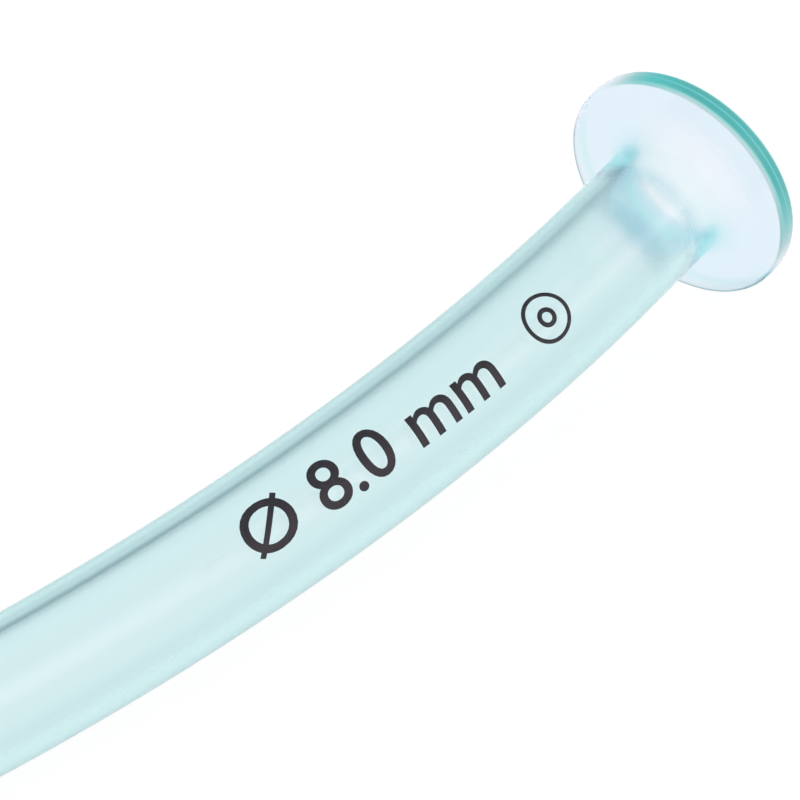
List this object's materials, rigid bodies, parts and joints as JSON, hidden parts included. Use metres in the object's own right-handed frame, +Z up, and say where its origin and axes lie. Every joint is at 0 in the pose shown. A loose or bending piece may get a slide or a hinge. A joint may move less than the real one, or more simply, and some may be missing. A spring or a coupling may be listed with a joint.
{
  "type": "nasopharyngeal airway",
  "caption": "Soft curved breathing tube with a round disc at its outer end and a rounded, bevelled tip, which keeps the way from nostril to throat open.",
  "frame": {"origin": "centre of the underside of the bounding box, with the airway lying on its side on a table", "axes": "+Z up, the tip towards +X; seen from above, the disc's axis lies 35 degrees off +X and the arc of the tube bows towards +Y"},
  "size_m": [0.1526, 0.0432, 0.0204],
  "materials": {
    "soft_vinyl": "clear soft moulding with a light green-blue tint, glossy"
  },
  "bodies": {
    "root": {"airway": "soft_vinyl"}
  },
  "joints": []
}
